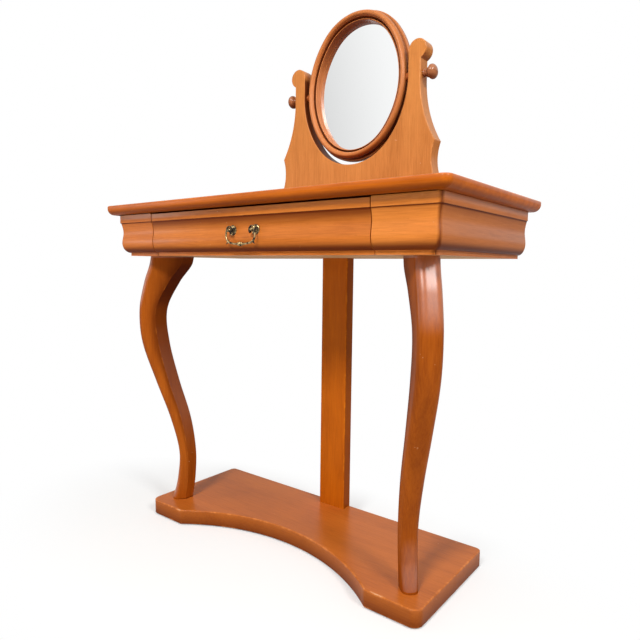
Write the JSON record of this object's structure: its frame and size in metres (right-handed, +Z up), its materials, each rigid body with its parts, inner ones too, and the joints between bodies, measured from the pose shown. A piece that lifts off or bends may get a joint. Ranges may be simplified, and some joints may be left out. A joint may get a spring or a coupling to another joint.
{
  "type": "dressing table",
  "caption": "Wooden dressing table on S-shaped legs and a cut-out plinth, with a moulded frieze drawer and an oval swing mirror in a shaped support.",
  "frame": {"origin": "centre of the bounding box at floor height, under the middle of the tabletop", "axes": "+X to the right along the front, +Y from the front to the back, +Z up; the drawer opens towards -Y"},
  "size_m": [0.9, 0.44, 1.2656],
  "materials": {
    "stained_wood": "honey-brown stain under satin lacquer, fine grain, light wear on the arrises",
    "dark_wood": "darker brown stain under gloss lacquer",
    "plain_wood": "bare planed softwood",
    "plywood": "bare plywood",
    "steel": "zinc-plated",
    "old_brass": "antique brass, darkened in the hollows",
    "mirror": "silvered glass",
    "felt": "dark pressed felt"
  },
  "bodies": {
    "table": {"glides": "felt", "plinth": "stained_wood", "plinth_screws": "steel", "leg_left": "stained_wood", "leg_right": "stained_wood", "rear_post": "stained_wood", "bottom_panel": "plywood", "frieze_block_left": "stained_wood", "frieze_block_right": "stained_wood", "side_rail_left": "stained_wood", "side_rail_right": "stained_wood", "back_rail": "stained_wood", "leg_block_left": "plain_wood", "leg_block_right": "plain_wood", "post_block": "plain_wood", "leg_bolts": "steel", "drawer_guide_left": "plain_wood", "drawer_guide_right": "plain_wood", "drawer_runner_left": "plain_wood", "drawer_runner_right": "plain_wood", "drawer_kicker_left": "plain_wood", "drawer_kicker_right": "plain_wood", "drawer_stops": "plain_wood", "drawer_catch": "plain_wood", "top_cleat_left": "plain_wood", "top_cleat_right": "plain_wood", "top_screws": "steel", "tabletop": "stained_wood", "mirror_support": "stained_wood", "support_screws": "steel"},
    "drawer": {"drawer_front": "stained_wood", "drawer_side_left": "plain_wood", "drawer_side_right": "plain_wood", "drawer_back": "plain_wood", "drawer_bottom": "plywood", "handle_post_left": "old_brass", "handle_post_right": "old_brass", "handle_screws": "steel"},
    "bail": {"handle_bail": "old_brass"},
    "mirror": {"mirror_frame": "stained_wood", "mirror_glass": "mirror", "mirror_backing": "plywood", "backing_clips": "steel", "pivot_inserts": "old_brass", "pivot_spacers": "dark_wood"},
    "left_knob": {"knob_left": "dark_wood", "knob_rod_left": "steel"},
    "right_knob": {"knob_right": "dark_wood", "knob_rod_right": "steel"}
  },
  "joints": [
    {"name": "drawer_slide", "type": "slide", "parent": "table", "child": "drawer", "axis": [0, -1, 0], "range_m": [0, 0.22]},
    {"name": "bail_swing", "type": "hinge", "parent": "drawer", "child": "bail", "pos_m": [0, -0.2026, 0.711], "axis": [-1, 0, 0], "range_deg": [-9, 50]},
    {"name": "mirror_tilt", "type": "hinge", "parent": "table", "child": "mirror", "pos_m": [0, 0.195, 1.08], "axis": [1, 0, 0], "range_deg": [-43, 47]},
    {"name": "left_knob_turn", "type": "hinge", "parent": "table", "child": "left_knob", "pos_m": [-0.2, 0.195, 1.08], "axis": [-1, 0, 0], "continuous": true},
    {"name": "right_knob_turn", "type": "hinge", "parent": "table", "child": "right_knob", "pos_m": [0.2, 0.195, 1.08], "axis": [1, 0, 0], "continuous": true}
  ]
}
